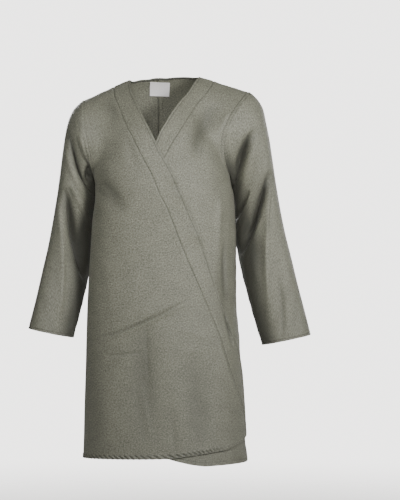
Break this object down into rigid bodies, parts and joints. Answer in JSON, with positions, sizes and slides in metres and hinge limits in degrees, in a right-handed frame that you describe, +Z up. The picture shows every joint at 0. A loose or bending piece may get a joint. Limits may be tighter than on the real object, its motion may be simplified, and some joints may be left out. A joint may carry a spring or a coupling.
{
  "type": "wrap coat",
  "caption": "Knee-length wool wrap coat, hollow as worn: lapped fronts with bands along their edges, set-in long sleeves, V neck and open hem.",
  "frame": {"origin": "midway between the wearer's shoulders, at mid-shoulder height, where the wearer holds the coat up", "axes": "+Z up along the coat's length, the front towards -Y, +X towards the wearer's left, so the right front laps over towards +X"},
  "size_m": [0.761, 0.2829, 1.0416],
  "materials": {
    "wool": "woven grey-green wool, soft and dull",
    "binding": "darker turned edge, dull",
    "label": "white woven tape, smooth"
  },
  "bodies": {
    "root": {"left_back": "wool", "right_back": "wool", "left_front": "wool", "left_front_band": "wool", "right_front": "wool", "right_front_band": "wool", "left_sleeve": "wool", "right_sleeve": "wool", "neck_binding": "binding", "neck_label": "label"}
  },
  "joints": []
}
